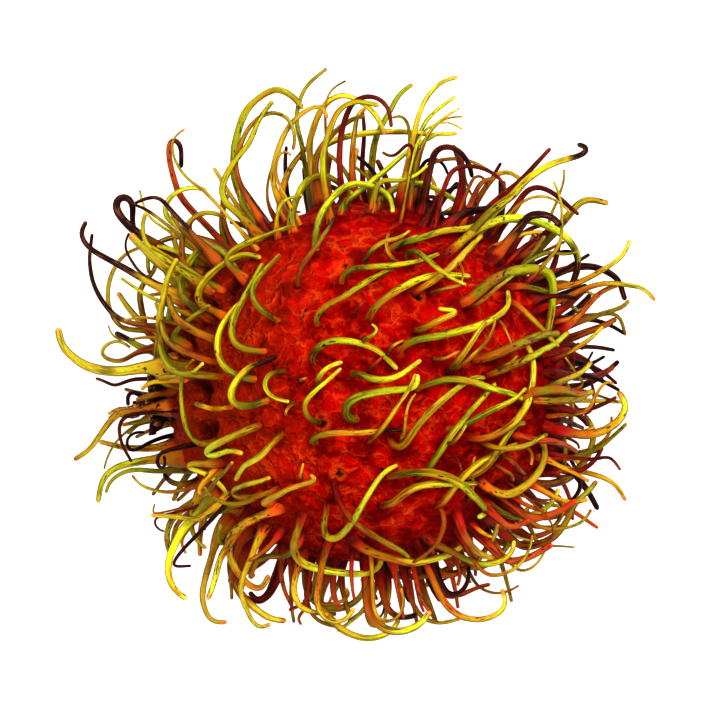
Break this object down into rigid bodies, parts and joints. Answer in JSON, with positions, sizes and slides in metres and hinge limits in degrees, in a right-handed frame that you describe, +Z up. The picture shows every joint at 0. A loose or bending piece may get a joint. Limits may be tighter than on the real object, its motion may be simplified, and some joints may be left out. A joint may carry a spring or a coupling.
{
  "type": "rambutan",
  "caption": "Whole ripe rambutan lying on its side: an egg-shaped red rind covered in long, soft, curved spines, with the dried end of its stalk.",
  "frame": {"origin": "centre of the small flat spot that the fruit rests on", "axes": "+Z up, away from the surface it lies on; +X along the fruit's length, from the stalk to its far tip; +Y across it"},
  "size_m": [0.0746, 0.0706, 0.0501],
  "materials": {
    "rind": "semi-matte leathery rind, deep red, with spines that turn yellow-green",
    "dried_stalk": "rough dried brown stalk and calyx"
  },
  "bodies": {
    "root": {"rambutan_fruit": "rind", "stem_stub": "dried_stalk"}
  },
  "joints": []
}
